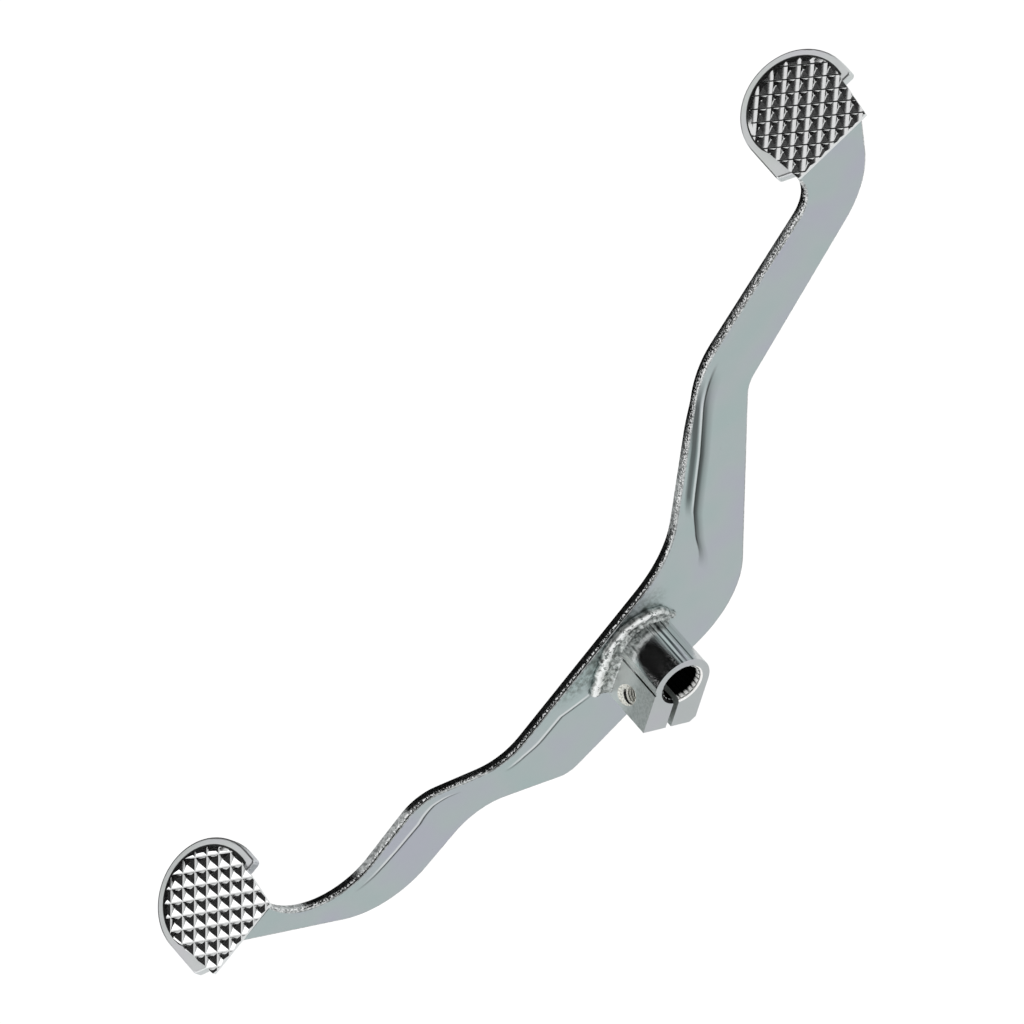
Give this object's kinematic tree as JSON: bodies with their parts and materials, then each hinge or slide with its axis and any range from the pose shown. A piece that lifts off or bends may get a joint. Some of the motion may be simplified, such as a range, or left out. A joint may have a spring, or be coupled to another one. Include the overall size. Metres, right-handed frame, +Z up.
{
  "type": "motorcycle gear shift lever",
  "caption": "Heel-and-toe gear shift lever: pressed steel rocker arm with a welded splined clamp boss and a knurled foot pad at each end, chrome plated.",
  "frame": {"origin": "on the spindle axis, at the arm's engine-side face where the boss is welded on", "axes": "+X along the arm to the toe pad, +Z up out of the pads, -Y along the spindle towards the engine"},
  "size_m": [0.3399, 0.0579, 0.1313],
  "materials": {
    "arm_chrome": "plated pressed sheet, satin bright",
    "boss_chrome": "plated, turned and bright",
    "weld_chrome": "plated weld metal, rough",
    "pad_chrome": "plated, satin",
    "tread_chrome": "plated knurling, bright"
  },
  "bodies": {
    "root": {"lever_arm": "arm_chrome", "shaft_boss": "boss_chrome", "boss_weld": "weld_chrome", "toe_pad_base": "pad_chrome", "toe_pad_tread": "tread_chrome", "toe_pad_weld": "weld_chrome", "heel_pad_base": "pad_chrome", "heel_pad_tread": "tread_chrome", "heel_pad_weld": "weld_chrome"}
  },
  "joints": []
}
